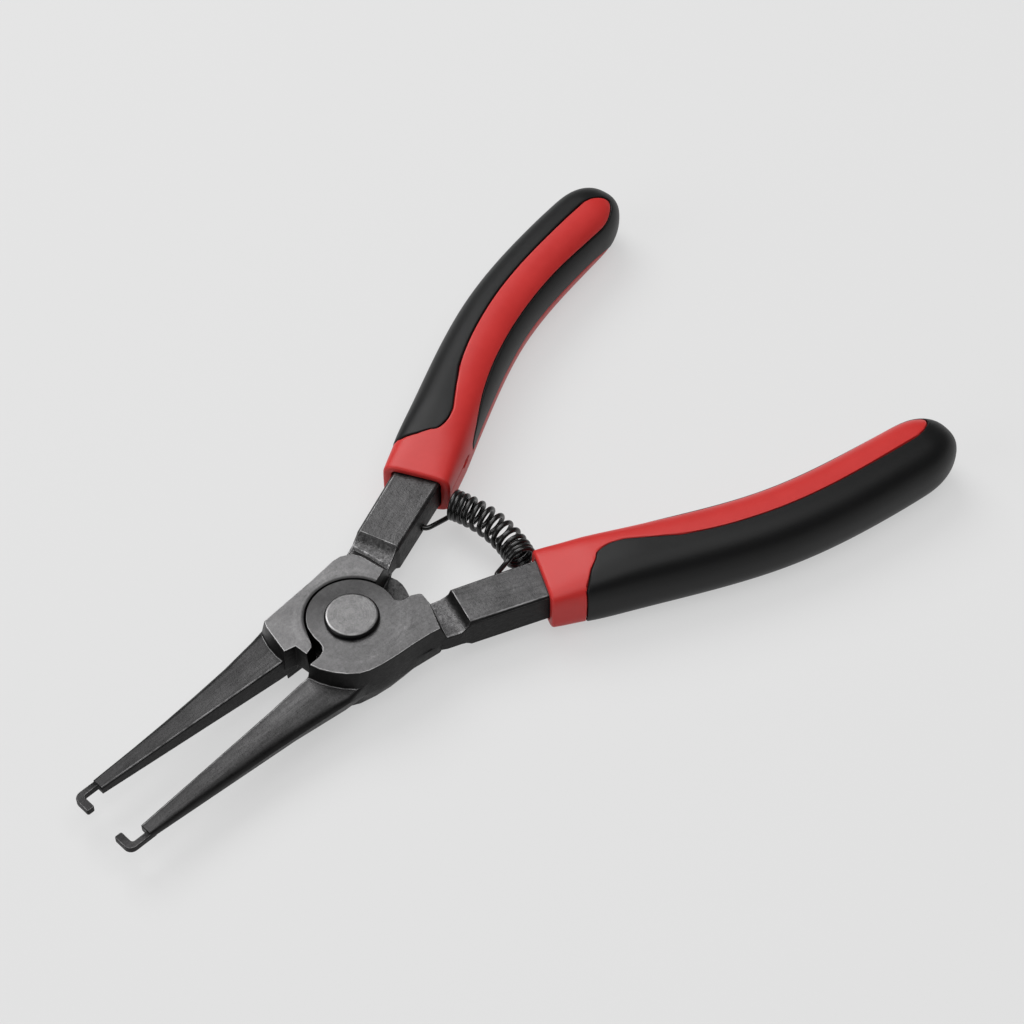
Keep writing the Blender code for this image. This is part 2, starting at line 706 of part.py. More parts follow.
def spring_leg():
    """One leg of the spring, from inside the tang's hole to the coil.

    It is written for the +Y side, where it lies low. The other leg is the same
    turned half a turn about the X direction, where it lies high.
    """
    (ex, ey), (dx, dy) = leg_entry()
    ux, uy = dy, -dx
    low = -SPRING_HOLE_Z
    foot = SPRING_Z - SPRING_COIL_R
    leg = []
    for into, along, z in ((2.4, 0.0, low), (0.3, 0.0, low), (-0.6, 0.1, low - 0.05), (-1.4, 0.7, low - 0.1),
                           (-2.0, 1.7, low - 0.2)):
        leg.append((ex + dx * into + ux * along, ey + dy * into + uy * along, z))
    end = math.radians(SPRING_HALF_ANGLE)
    reach = SPRING_MID_X - SPRING_ARC_R * (1.0 - math.cos(end))
    leg.append((reach - 3.4, SPRING_ARC_R * math.sin(end) - 0.1, foot + 0.15))
    return leg


def spring_coil():
    """Centre line of the coil, bent on an arc that opens towards the pivot.

    The turns stand closer at both ends than in the middle. The angle along the
    arc is t - spread * sin(2 pi t) / (2 pi), taken from one end to the other.
    """
    coil = []
    steps = int(SPRING_TURNS * 12)
    for i in range(steps + 1):
        t = i / steps
        crowd = t + SPRING_SPREAD * math.sin(2 * math.pi * t) / (2 * math.pi)
        slow = 2 * t - crowd
        along = math.radians(SPRING_HALF_ANGLE * (1.0 - 2.0 * slow))
        turn = -0.5 * math.pi + 2 * math.pi * SPRING_TURNS * t
        radius = SPRING_ARC_R + SPRING_COIL_R * math.cos(turn)
        lift = SPRING_COIL_R * math.sin(turn)
        reach = SPRING_MID_X - SPRING_ARC_R + radius * math.cos(along)
        coil.append((reach, radius * math.sin(along), SPRING_Z + lift))
    return coil


def tube(name, points, radius, count):
    """Round wire along points, with parallel-carried frames and closed ends."""
    p = [np.array(q, float) for q in points]
    rings = []
    side = np.array((0.0, 0.0, 1.0))
    for i, q in enumerate(p):
        ahead = p[min(i + 1, len(p) - 1)] - p[max(i - 1, 0)]
        ahead = ahead / np.linalg.norm(ahead)
        side = side - ahead * float(side @ ahead)
        side = side / np.linalg.norm(side)
        other = np.cross(ahead, side)
        rings.append([tuple(q + radius * (side * math.cos(2 * math.pi * k / count)
                                          + other * math.sin(2 * math.pi * k / count)))
                      for k in range(count)])
    return loft(name, rings)


def build_spring(wire):
    leg = spring_leg()
    far = [(x, -y, 2 * SPRING_Z - z) for x, y, z in leg][::-1]
    spring = tube("return_spring", leg + spring_coil() + far, WIRE_R, 6)
    finish(spring, wire, 70.0)
    return spring


def slot_body(name, side):
    """Leaf-shaped slot in the inner wall of a red core."""
    centre, tangent = PATH.at(SLOT_S)
    normal = (-tangent[1], tangent[0])
    half = float(np.interp(SLOT_S, GRIP_S, GRIP_W))
    rings = []
    for depth in (SLOT_DEPTH, -1.5):
        ring = []
        for i in range(12):
            t = 2 * math.pi * i / 12
            along = 0.5 * SLOT_LENGTH * math.cos(t)
            up = 0.5 * SLOT_WIDTH * math.copysign(abs(math.sin(t)) ** 1.4, math.sin(t))
            a = depth - half
            ring.append((centre[0] + normal[0] * a + tangent[0] * along,
                         side * (centre[1] + normal[1] * a + tangent[1] * along), SLOT_Z + up))
        rings.append(ring)
    return loft(name, rings)


def build_grips(red, black):
    parts = []
    for side, word in ((1, "recessed"), (-1, "disc")):
        core = grip_body(word + "_grip_core", side, True)
        pocket = [tang_section(*front_frame(-4.0), 6.25 + GRIP_GAP, TANG_HALF + GRIP_GAP, TANG_CHAMFER)]
        pocket += inner_tang_sections(GRIP_GAP)
        combine(core, loft("pocket", handed(pocket, side)), "DIFFERENCE")
        combine(core, slot_body("slot", side), "DIFFERENCE")
        finish(core, red, 35.0)
        cover = grip_body(word + "_grip_cover", side, False)
        finish(cover, black, 50.0)
        parts += [core, cover]
    return parts


def front_frame(s):
    centre, tangent = PATH.at(s)
    return centre, (-tangent[1], tangent[0])


def main():
    clear_scene()
    steel = material("blackened_steel", (0.105, 0.105, 0.108), 0.42, 0.85)
    head = material("bare_steel", (0.27, 0.265, 0.262), 0.38, 0.9)
    wire = material("spring_wire", (0.02, 0.02, 0.021), 0.25, 0.7)
    red = material("red_plastic", (0.58, 0.035, 0.025), 0.45, 0.0)
    black = material("black_rubber", (0.022, 0.023, 0.025), 0.6, 0.0)
    build_levers(steel)
    build_rivet(head)
    build_spring(wire)
    build_grips(red, black)


main()
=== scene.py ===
"""Looks of the exhaust clamp pliers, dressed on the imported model.

Shapes are worked out in millimetres from the pivot axis, with z counted from the middle
plane of the joint, and are moved to their place in the frame when the mesh is made.
The finishes work in metres.
"""
import math

import bmesh
import bpy
import numpy as np
from mathutils import Matrix, Vector


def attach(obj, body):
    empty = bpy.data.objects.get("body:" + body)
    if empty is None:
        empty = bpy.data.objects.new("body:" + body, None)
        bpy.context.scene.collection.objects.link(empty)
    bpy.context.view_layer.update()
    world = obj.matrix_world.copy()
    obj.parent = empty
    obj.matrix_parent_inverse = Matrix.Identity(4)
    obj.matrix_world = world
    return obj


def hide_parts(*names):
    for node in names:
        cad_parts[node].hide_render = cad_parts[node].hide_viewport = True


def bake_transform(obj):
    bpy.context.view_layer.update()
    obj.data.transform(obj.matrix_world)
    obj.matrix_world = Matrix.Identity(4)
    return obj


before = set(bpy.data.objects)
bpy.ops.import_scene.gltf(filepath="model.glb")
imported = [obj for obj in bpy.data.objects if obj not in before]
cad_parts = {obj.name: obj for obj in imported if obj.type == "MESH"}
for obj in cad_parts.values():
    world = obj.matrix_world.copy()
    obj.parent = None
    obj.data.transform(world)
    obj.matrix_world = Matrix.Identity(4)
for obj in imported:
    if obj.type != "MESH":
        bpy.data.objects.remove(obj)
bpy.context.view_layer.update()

MM = 0.001
PIVOT_X = -36.51
MID_Z = 9.447


# Shader maths

class Socket:
    """An output socket. Operators on it add Math nodes to its tree."""

    def __init__(self, tree, out):
        self.tree = tree
        self.out = out

    def maths(self, operation, *values):
        return self.tree.node("ShaderNodeMath", {"operation": operation}, dict(enumerate(values)))

    def __add__(self, other):
        return self.maths("ADD", self, other)

    def __sub__(self, other):
        return self.maths("SUBTRACT", self, other)

    def __rsub__(self, other):
        return self.maths("SUBTRACT", other, self)

    def __mul__(self, other):
        return self.maths("MULTIPLY", self, other)

    def __truediv__(self, other):
        return self.maths("DIVIDE", self, other)

    def __pow__(self, other):
        return self.maths("POWER", self, other)

    def __neg__(self):
        return self.maths("MULTIPLY", self, -1.0)

    def __abs__(self):
        return self.maths("ABSOLUTE", self)

    __radd__ = __add__
    __rmul__ = __mul__

    def step(self, low, high):
        """Smooth step from 0 at low to 1 at high."""
        return self.tree.node("ShaderNodeMapRange", {"interpolation_type": "SMOOTHSTEP"},
                              {"Value": self, "From Min": low, "From Max": high})


class Finish:
    """A material under construction, with the coordinates that its patterns read."""

    def __init__(self, name):
        self.mat = bpy.data.materials.new(name)
        self.mat.use_nodes = True
        self.nodes = self.mat.node_tree.nodes
        self.links = self.mat.node_tree.links
        self.shader = self.nodes["Principled BSDF"]
        place = self.nodes.new("ShaderNodeTexCoord")
        self.place = Socket(self, place.outputs["Object"])
        self.normal = Socket(self, place.outputs["Normal"])

    def node(self, kind, settings, inputs, output=0):
        """Adds a node, sets its settings, then gives its sockets their values or links."""
        node = self.nodes.new(kind)
        for key, value in settings.items():
            setattr(node, key, value)
        for key, value in inputs.items():
            self.put(node.inputs[key], value)
        return Socket(self, node.outputs[output])

    def put(self, socket, value):
        if isinstance(value, Socket):
            self.links.new(value.out, socket)
        else:
            socket.default_value = value

    def from_pivot(self):
        """Place by axis, from the pivot axis and the middle plane of the joint."""
        centred = self.mapped(self.place, (-PIVOT_X * MM, 0.0, -MID_Z * MM))
        return [self.axis(centred, i) for i in range(3)]

    def rings(self, radius, scale, row):
        """Turning marks: noise that changes with the radius only, read along one row."""
        place = self.node("ShaderNodeCombineXYZ", {}, {0: radius * scale, 1: row[0], 2: row[1]})
        return self.noise(place, 1.0, 2.0)

    def noise(self, vector, scale, detail=3.0, rough=0.5):
        return self.node("ShaderNodeTexNoise", {}, {"Vector": vector, "Scale": scale, "Detail": detail,
                                                    "Roughness": rough})

    def mapped(self, vector, move=(0.0, 0.0, 0.0), turn=0.0, scale=(1.0, 1.0, 1.0)):
        return self.node("ShaderNodeMapping", {}, {"Vector": vector, "Location": move,
                                                   "Rotation": (0.0, 0.0, turn), "Scale": scale})

    def axis(self, vector, index):
        return self.node("ShaderNodeSeparateXYZ", {}, {0: vector}, index)

    def mix(self, factor, a, b):
        """Colour a where factor is 0, colour b where it is 1."""
        return self.node("ShaderNodeMix", {"data_type": "RGBA"}, {0: factor, 6: a, 7: b}, 2)

    def tinted(self, value, tint):
        """A colour of the given brightness, tinted by three factors."""
        return self.node("ShaderNodeCombineColor", {}, {i: value * tint[i] for i in range(3)})

    def bump(self, height, distance, strength):
        return self.node("ShaderNodeBump", {}, {"Height": height, "Distance": distance, "Strength": strength})

    def finish(self, colour, rough, metal, normal=None, **fixed):
        self.put(self.shader.inputs["Base Color"], colour)
        self.put(self.shader.inputs["Roughness"], rough)
        self.put(self.shader.inputs["Metallic"], metal)
        if normal is not None:
            self.put(self.shader.inputs["Normal"], normal)
        for key, value in fixed.items():
            self.shader.inputs[key.replace("_", " ")].default_value = value
        return self.mat


# Meshes

SKIN_MERGE, SKIN_LEAST = 2e-7, 1e-8


def linked(name, data):
    """A new object of the scene."""
    obj = bpy.data.objects.new(name, data)
    bpy.context.scene.collection.objects.link(obj)
    return obj


def mesh_piece(name, points, quads, material, sharp):
    """Object at the origin from points in millimetres about the pivot and an array of quads.

    Equal points are merged and faces look outward. Edges steeper than sharp degrees stay crisp.
    """
    place = (np.asarray(points, float).reshape(-1, 3) + (PIVOT_X, 0.0, MID_Z)) * MM
    quads = np.asarray(quads, np.int32).reshape(-1, 4)
    mesh = bpy.data.meshes.new(name)
    mesh.vertices.add(len(place))
    mesh.vertices.foreach_set("co", place.astype(np.float32).ravel())
    mesh.loops.add(quads.size)
    mesh.loops.foreach_set("vertex_index", quads.ravel())
    mesh.polygons.add(len(quads))
    mesh.polygons.foreach_set("loop_start", np.arange(0, quads.size, 4, dtype=np.int32))
    mesh.update(calc_edges=True)
    mesh.validate()
    work = bmesh.new()
    work.from_mesh(mesh)
    bmesh.ops.remove_doubles(work, verts=work.verts, dist=SKIN_MERGE)
    bmesh.ops.dissolve_degenerate(work, edges=work.edges, dist=SKIN_LEAST)
    bmesh.ops.recalc_face_normals(work, faces=work.faces)
    for face in work.faces:
        face.smooth = True
    limit = math.radians(sharp)
    for edge in work.edges:
        edge.smooth = len(edge.link_faces) == 2 and edge.calc_face_angle(0.0) < limit
    work.to_mesh(mesh)
    work.free()
    mesh.materials.append(material)
    return linked(name, mesh)


def ring_quads(rows, cols):
    """Quads of a grid whose columns close on themselves, as an array of rows x cols x 4."""
    r = np.arange(rows - 1)[:, None]
    c = np.arange(cols)[None, :]
    n = (c + 1) % cols
    return np.stack([r * cols + c, r * cols + n, (r + 1) * cols + n, (r + 1) * cols + c], axis=-1)


def smooth_table(knots, values, at):
    """Cubic through a table without overshoot.

    The slope at a knot is the harmonic mean of the slopes on its two sides, or 0
    where they differ in sign. Between knots it is the Hermite cubic.
    """
    k = np.asarray(knots, float)
    v = np.asarray(values, float)
    h = np.diff(k)
    d = np.diff(v) / h
    m = np.zeros(len(k))
    m[0], m[-1] = d[0], d[-1]
    same = d[1:] * d[:-1] > 0
    safe = np.where(same, d[1:] * d[:-1], 1.0)
    m[1:-1] = np.where(same, 2 * safe / np.where(same, d[1:] + d[:-1], 1.0), 0.0)
    t = np.clip(np.asarray(at, float), k[0], k[-1])
    i = np.clip(np.searchsorted(k, t) - 1, 0, len(k) - 2)
    u = (t - k[i]) / h[i]
    return ((1 + 2 * u) * (1 - u) ** 2 * v[i] + u * (1 - u) ** 2 * h[i] * m[i]
            + u * u * (3 - 2 * u) * v[i + 1] + u * u * (u - 1) * h[i] * m[i + 1])


def natural_spline(knots, values, at):
    """Natural cubic spline: the second derivatives solve the usual banded system."""
    k = np.asarray(knots, float)
    v = np.asarray(values, float)
    n = len(k)
    h = np.diff(k)
    a = np.eye(n)
    i = np.arange(1, n - 1)
    a[i, i - 1], a[i, i], a[i, i + 1] = h[:-1], 2 * (h[:-1] + h[1:]), h[1:]
    r = np.zeros((n,) + v.shape[1:])
    slope = np.diff(v, axis=0) / h.reshape((-1,) + (1,) * (v.ndim - 1))
    r[1:-1] = 6 * np.diff(slope, axis=0)
    m = np.linalg.solve(a, r)
    t = np.asarray(at, float)
    i = np.clip(np.searchsorted(k, t) - 1, 0, n - 2)
    shape = (-1,) + (1,) * (v.ndim - 1)
    d = h[i].reshape(shape)
    p = ((k[i + 1] - t) / h[i]).reshape(shape)
    q = 1 - p
    return p * v[i] + q * v[i + 1] + ((p ** 3 - p) * m[i] + (q ** 3 - q) * m[i + 1]) * d * d / 6


# Grips: tables as in the solids, by length s from the collar

PATH_X = (42.1, 54.0, 68.2, 96.2, 124.1, 151.5)
PATH_Y = (22.5, 28.8, 36.3, 49.5, 56.7, 61.0)
PATH_STEPS = 4000
path_x = np.linspace(PATH_X[0], PATH_X[-1], PATH_STEPS)
path_y = natural_spline(PATH_X, PATH_Y, path_x)
path_s = np.concatenate([[0.0], np.cumsum(np.hypot(np.diff(path_x), np.diff(path_y)))])
path_turn = np.unwrap(np.arctan2(np.gradient(path_y), np.gradient(path_x)))
PATH_LENGTH = float(path_s[-1])

GRIP_S = (0.0, 2.0, 7.0, 14.0, 26.0, 60.0, 92.0, 122.0)
GRIP_W = (8.97, 9.05, 9.25, 9.5, 9.4, 9.3, 9.2, 8.7)
GRIP_T = (6.45, 6.7, 7.4, 8.4, 9.1, 9.3, 9.3, 8.9)
GRIP_N = (5.0, 4.8, 3.9, 3.2, 2.7, 2.5, 2.5, 2.4)
MEAN_W = 9.2
END_W, END_T = 15.0, 12.0
END_POWER_W, END_POWER_T, END_LEAST = 2.3, 2.2, 1e-4
END_FROM, END_ROWS = 112.4, 30

LOBE_S = (9.0, 9.6, 10.4, 11.6, 13.6, 16.3, 19.0, 21.5, 25.0, 30.0, 38.0, 50.0, 92.0, 104.0, 107.5, 109.5,
          110.8, 111.6)
LOBE_A = (36.0, 50.0, 64.0, 79.0, 89.0, 95.0, 99.0, 100.0, 97.0, 92.5, 88.5, 86.5, 88.5, 89.0, 91.0, 96.0,
          103.0, 112.0)
STRIP_S = (17.6, 19.0, 22.0, 26.7, 31.4, 37.0, 43.0, 65.0, 80.0, 97.0, 103.0, 106.0, 109.0, 110.8, 111.6)
STRIP_TOP = (175.0, 169.0, 161.0, 150.0, 143.0, 139.0, 137.5, 140.5, 142.0, 148.0, 149.5, 147.0, 139.0,
             130.0, 122.0)
STRIP_LOW = (179.0, 179.0, 179.5, 180.0, 180.0, 180.0, 180.0, 178.0, 176.0, 173.0, 167.0, 159.0, 145.0,
             131.0, 122.0)
SHIFT_S, SHIFT_SHARE = (18.0, 34.0, 96.0, 111.0), (0.0, 1.0, 1.0, 0.0)
BAND_COLS = (72, 32, 34, 40)
COVER_T, COVER_FRONT_T, COVER_PROUD = 1.7, 0.55, 0.12
BED_GAP = 0.3
SEAM, SEAM_FOOT = 0.2, 0.02
RED_ROUND = 0.3
BLACK_ROUND = 0.35
LIP_ROUND, LIP_STEPS = 0.8, 9
MOULD_LINE_HALF, MOULD_LINE_DEPTH, MOULD_LINE_FADE, MOULD_LINE_ANGLE = 0.16, 0.14, 1.5, 60.0
SLOT_S, SLOT_Z, SLOT_LENGTH, SLOT_WIDTH, SLOT_DEPTH = 11.8, 1.0, 4.8, 1.8, 1.8
SLOT_EDGE, SLOT_ENDS = 0.14, 0.8
TANG_S = (0.0, 12.0, 26.0, 44.0, 64.0, 88.0)
TANG_W = (6.25, 6.1, 5.7, 5.1, 4.5, 3.6)
TANG_T = (4.5, 4.5, 4.5, 4.0, 3.7, 3.2)
POCKET_S = (88.4, 88.4, 64.0, 44.0, 26.0, 12.0, 0.4, 0.1, 0.0)
POCKET_GAP = (-9.0, 0.3, 0.3, 0.3, 0.3, 0.3, 0.3, 0.4, 0.65)
POCKET_POWER = 9.0


def spaced(start, stop, step):
    """Evenly spaced values from start up to, but not with, stop."""
    return np.linspace(start, stop, max(int(round((stop - start) / step)), 1), endpoint=False)


def eased(start, stop, count):
    """Values that stand closer at both ends: half a cosine from start to stop, without stop."""
    return start + (stop - start) * 0.5 * (1 - np.cos(np.pi * np.arange(count) / count))


def grip_rows(end_inset):
    """Lengths of the skin's rows. They crowd at the edges of the cover and run into the end."""
    body = [spaced(LIP_ROUND, 8.0, 0.45), eased(8.0, LOBE_S[0], 7), eased(LOBE_S[0], 9.9, 8),
            spaced(9.9, 16.8, 0.3), eased(16.8, STRIP_S[0], 6), eased(STRIP_S[0], 18.4, 6),
            spaced(18.4, 32.0, 0.7), spaced(32.0, 100.0, 1.5), spaced(100.0, 110.8, 0.6),
            eased(110.8, LOBE_S[-1], 6), eased(LOBE_S[-1], END_FROM, 6)]
    turn = np.linspace(0.0, 0.5 * np.pi, END_ROWS)
    return np.concatenate(body + [END_FROM + (PATH_LENGTH - end_inset - END_FROM) * np.sin(turn)])


def column_angles(s, shift):
    """Section angles of the columns at each row, in degrees: outer lobe, stripe, inlay, stripe.

    shift is by how many degrees the upper edge of the inlay is moved on one grip.
    """
    a = smooth_table(LOBE_S, LOBE_A, s)[:, None]
    b = (smooth_table(STRIP_S, STRIP_TOP, s) + shift * smooth_table(SHIFT_S, SHIFT_SHARE, s))[:, None]
    c = smooth_table(STRIP_S, STRIP_LOW, s)[:, None]
    part = [0.5 * (1 - np.cos(np.pi * np.arange(n) / n))[None, :] for n in BAND_COLS]
    return np.concatenate([-a + 2 * a * part[0], a + (b - a) * part[1],
                           b + (360.0 - c - b) * part[2], 360.0 - c + (c - a) * part[3]], axis=1)


def end_factor(remaining, span, power):
    """Superelliptic rounding: (1 - t^power)^(1/power), with t from 0 at the span to 1 at the tip."""
    t = np.clip((span - remaining) / span, 0.0, 1.0)
    return np.maximum(1.0 - t ** power, 0.0) ** (1.0 / power)


def section_points(s, angles, w, t, n):
    """Points of a superellipse across the path: |a/w|^n + |b/t|^n = 1 at length s."""
    x = np.interp(s, path_s, path_x)
    y = np.interp(s, path_s, path_y)
    turn = np.interp(s, path_s, path_turn)
    ahead = np.minimum(s, 0.0)
    x = x + ahead * np.cos(turn)
    y = y + ahead * np.sin(turn)
    c = np.cos(np.radians(angles))
    q = np.sin(np.radians(angles))
    a = np.sign(c) * np.abs(c) ** (2.0 / n) * w
    b = np.sign(q) * np.abs(q) ** (2.0 / n) * t
    return np.stack([x - np.sin(turn) * a, y + np.cos(turn) * a, b], axis=-1)


def skin_points(s, angles, inset):
    """Grip skin, sunk by inset. The end is rounded from the sunk tip."""
    s2 = s[:, None]
    w = smooth_table(GRIP_S, GRIP_W, s2) - inset
    t = smooth_table(GRIP_S, GRIP_T, s2) - inset
    n = smooth_table(GRIP_S, GRIP_N, s2)
    left = PATH_LENGTH - inset - s2
    w = w * np.maximum(end_factor(left, END_W, END_POWER_W), END_LEAST)
    t = t * np.maximum(end_factor(left, END_T, END_POWER_T), END_LEAST)
    return section_points(s2 + 0 * angles, angles, w, t, n)


def seam_distance(s, angles):
    """Distance in millimetres from the edge of the cover: above 0 on red, below 0 under the cover.

    Across a row it is the length along the section times the cosine of the edge's
    slope. Along the grip it is the length to the ends of the bands.
    """
    base = skin_points(s, angles, np.zeros_like(angles))
    chord = np.linalg.norm(np.roll(base, -1, axis=1) - base, axis=2)
    starts = np.concatenate([[0], np.cumsum(BAND_COLS)])
    run = np.concatenate([np.zeros((len(s), 1)), np.cumsum(chord, axis=1)], axis=1)
    slopes = []
    for table in (LOBE_A, STRIP_TOP, STRIP_LOW):
        knots = LOBE_S if table is LOBE_A else STRIP_S
        value = np.radians(smooth_table(knots, table, s))
        slopes.append(1.0 / np.hypot(1.0, MEAN_W * np.gradient(value, s)))
    after_lobe = s[:, None] - LOBE_S[0]
    after_inlay = s[:, None] - STRIP_S[0]
    after_stripe = s[:, None] - LOBE_S[-1]
    field = np.zeros(angles.shape)
    for band in range(4):
        i, j = starts[band], starts[band + 1]
        near = run[:, i:j] - run[:, i:i + 1]
        far = run[:, j:j + 1] - run[:, i:j]
        low, high = ((0, 0), (0, 1), (1, 2), (2, 0))[band]
        near = near * slopes[low][:, None]
        far = far * slopes[high][:, None]
        side = np.minimum(near, far)
        if band in (1, 3):
            lobe, inlay = (near, far) if band == 1 else (far, near)
            lobe = np.hypot(lobe, np.minimum(after_lobe, 0.0))
            inlay = np.hypot(inlay, np.minimum(after_inlay, 0.0))
            field[:, i:j] = np.minimum(np.minimum(lobe, inlay), -after_stripe)
        else:
            after = after_lobe if band == 0 else after_inlay
            inside = np.where(after_stripe > 0, np.hypot(side, after_stripe), np.minimum(side, after))
            field[:, i:j] = np.where(after > 0, -inside, -after)
    return field


def cover_depth(s):
    return np.interp(s, (LOBE_S[0], STRIP_S[0]), (COVER_FRONT_T, COVER_T))


def red_inset(s, angles, field):
    """Sinking of the red skin: a quarter circle and a wall down to the bed under the cover.

    On the inner side a fine mould line, a bell curve across the height, runs into a
    lens-shaped slot.
    """
    bed = (cover_depth(s) + BED_GAP)[:, None]
    near = np.clip((SEAM + RED_ROUND - field) / RED_ROUND, 0.0, 1.0)
    rounded = RED_ROUND * (1.0 - np.sqrt(1.0 - near ** 2))
    wall = np.clip((SEAM - field) / (SEAM - SEAM_FOOT), 0.0, 1.0)
    inset = rounded + (bed - RED_ROUND) * wall
    height = skin_points(s, angles, np.zeros_like(angles))[:, :, 2] - SLOT_Z
    before = SLOT_S - s[:, None]
    line = np.exp(-(height / MOULD_LINE_HALF) ** 2) * np.clip(before / MOULD_LINE_FADE, 0.0, 1.0)
    u = np.clip(np.abs(before) / (0.5 * SLOT_LENGTH), 0.0, 1.0)
    inside = 0.5 * SLOT_WIDTH * (1.0 - u ** 2) ** SLOT_ENDS - np.abs(height)
    slot = SLOT_DEPTH * np.clip(inside / SLOT_EDGE + 0.4, 0.0, 1.0) * (u < 0.999)
    on_inner = np.abs(angles - 180.0) < MOULD_LINE_ANGLE
    return inset + np.where(on_inner, MOULD_LINE_DEPTH * line + slot, 0.0)


def black_inset(field):
    """Height of the cover: a little proud of the red, with a quarter circle at its edge."""
    near = np.clip(1.0 + field / BLACK_ROUND, 0.0, 1.0)
    return -COVER_PROUD + BLACK_ROUND * (1.0 - np.sqrt(1.0 - near ** 2))


def core_points(shift):
    """One closed skin: up the pocket round the tang, over the lip, along the grip to its end."""
    s = grip_rows(COVER_T + BED_GAP)
    angles = column_angles(s, shift)
    field = seam_distance(s, angles)
    skin = skin_points(s, angles, red_inset(s, angles, field))
    skin[-1] = skin[-1].mean(axis=0)
    w = np.interp(POCKET_S, TANG_S, TANG_W) + POCKET_GAP
    t = np.interp(POCKET_S, TANG_S, TANG_T) + POCKET_GAP
    w[0] = t[0] = 1e-3
    turn = np.linspace(0.0, 0.5 * np.pi, LIP_STEPS)[:-1]
    lip_s = LIP_ROUND * (1.0 - np.cos(turn))
    lip_in = LIP_ROUND * (1.0 - np.sin(turn))
    lip_w = smooth_table(GRIP_S, GRIP_W, lip_s) - lip_in
    lip_t = smooth_table(GRIP_S, GRIP_T, lip_s) - lip_in
    front_s = np.concatenate([POCKET_S, lip_s])
    front_w = np.concatenate([w, lip_w])
    front_t = np.concatenate([t, lip_t])
    front_n = np.concatenate([np.full(len(POCKET_S), POCKET_POWER), np.full(len(lip_s), GRIP_N[0])])
    first = np.repeat(angles[:1], len(front_s), axis=0)
    front = section_points(front_s[:, None] + 0 * first, first, front_w[:, None], front_t[:, None],
                           front_n[:, None])
    front[0] = front[0].mean(axis=0)
    return np.concatenate([front, skin])


def cover_mask(s):
    """Cells of the grid under the black cover."""
    mid = 0.5 * (s[1:] + s[:-1])
    band = np.repeat(np.arange(4), BAND_COLS)[None, :]
    start = np.choose(band, (LOBE_S[0], LOBE_S[-1], STRIP_S[0], LOBE_S[-1]))
    return mid[:, None] > start


def cover_parts(shift):
    """Outer and inner skins of the cover and the quads of both, with walls round the edges."""
    outer_s = grip_rows(-COVER_PROUD)
    inner_s = grip_rows(COVER_T)
    angles = column_angles(outer_s, shift)
    outer = skin_points(outer_s, angles, black_inset(seam_distance(outer_s, angles)))
    inner_inset = cover_depth(inner_s)[:, None] + 0 * angles
    inner = skin_points(inner_s, column_angles(inner_s, shift), inner_inset)
    outer[-1] = outer[-1].mean(axis=0)
    inner[-1] = inner[-1].mean(axis=0)
    rows, cols = angles.shape
    quads = ring_quads(rows, cols)
    mask = cover_mask(outer_s)
    below = rows * cols
    r, c = np.nonzero(mask != np.roll(mask, -1, axis=1))
    a, b = r * cols + (c + 1) % cols, (r + 1) * cols + (c + 1) % cols
    side_walls = np.stack([a, b, b + below, a + below], axis=-1)
    r, c = np.nonzero(mask & ~np.concatenate([np.zeros((1, cols), bool), mask[:-1]]))
    a, b = r * cols + c, r * cols + (c + 1) % cols
    front_walls = np.stack([a, b, b + below, a + below], axis=-1)
    return (np.concatenate([outer.reshape(-1, 3), inner.reshape(-1, 3)]),
            np.concatenate([quads[mask], quads[mask][:, ::-1] + below, side_walls, front_walls]))


def loose_removed(points, quads):
    """Only the points that quads use, with the quads numbered again."""
    used = np.unique(quads)
    number = np.zeros(len(points), np.int64)
    number[used] = np.arange(len(used))
    return points[used], number[quads]


def one_side(points, side):
    """The points on the +Y side, or their mirror image on the -Y side."""
    return points * (1.0, side, 1.0)


# Spring

SPRING_MID_X, SPRING_ARC_R, SPRING_HALF_ANGLE, SPRING_COIL_R = 47.4, 34.0, 21.2, 3.4
WIRE_R, SPRING_TURNS, SPRING_Z, SPRING_SPREAD, SPRING_HOLE_Z = 0.65, 12.65, 0.3, 0.5, 1.9
LEG_ENTRY = (35.709, 13.507)
LEG_INTO = (-0.3496, 0.9369)
NEAR_LEG = ((2.4, 0.0, 0.0), (0.9, 0.0, 0.0), (0.1, 0.0, 0.0), (-0.6, 0.1, -0.05), (-1.4, 0.7, -0.1),
            (-2.0, 1.7, -0.2))
FAR_LEG = ((2.4, 0.0, 0.0), (0.9, 0.0, 0.0), (0.1, 0.0, 0.0), (-0.6, 0.1, -0.05), (-1.5, 0.9, -0.3))
NEAR_LAST = (-3.4, -0.1, 0.15)
TURN_STEPS, LEG_STEPS, WIRE_SIDES = 44, 44, 14


def leg_knots(steps, side, height):
    """Knots of a leg: steps along and across its hole in the tang, and up from the given height."""
    steps = np.array(steps)
    dx, dy = LEG_INTO
    return np.stack([LEG_ENTRY[0] + dx * steps[:, 0] + dy * steps[:, 1],
                     side * (LEG_ENTRY[1] + dy * steps[:, 0] - dx * steps[:, 1]), height + steps[:, 2]], axis=-1)


def leg_points(knots):
    """Natural spline through the knots, spaced evenly by length, without the coil's own point."""
    run = np.concatenate([[0.0], np.cumsum(np.linalg.norm(np.diff(knots, axis=0), axis=1))])
    return natural_spline(run, knots, np.linspace(0.0, run[-2], LEG_STEPS))[:-1]


